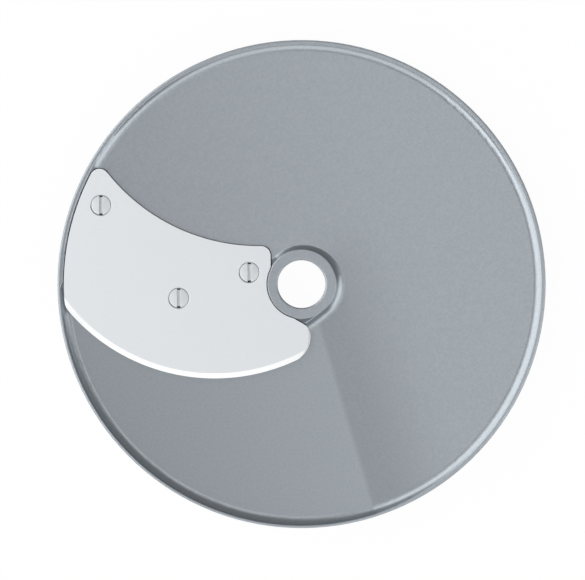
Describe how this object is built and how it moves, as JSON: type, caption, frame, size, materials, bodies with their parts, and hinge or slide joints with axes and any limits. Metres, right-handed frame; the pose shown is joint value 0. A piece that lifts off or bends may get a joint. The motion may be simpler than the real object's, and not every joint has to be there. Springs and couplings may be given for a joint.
{
  "type": "food processor disc",
  "caption": "Slicing disc for a vegetable cutter: a cast grey disc with a raised rim and hub ring, and a crescent blade screwed over a throat that slices drop through",
  "frame": {"origin": "on the bore's axis, in the plane of the skirt's foot that the disc rests on", "axes": "+Z along the bore out of the food side; +X points right and +Y up with the food side in view and the blade on the left; the disc turns anticlockwise seen from +Z"},
  "size_m": [0.205, 0.205, 0.012],
  "materials": {
    "coated_casting": "cast aluminium with a satin grey metallic coating of fine speckle",
    "blade_steel": "matt blasted stainless steel with a bright ground bevel",
    "screw_steel": "polished stainless steel"
  },
  "bodies": {
    "root": {"disc_body": "coated_casting", "slicing_blade": "blade_steel", "blade_screw_outer": "screw_steel", "blade_screw_middle": "screw_steel", "blade_screw_inner": "screw_steel"}
  },
  "joints": []
}
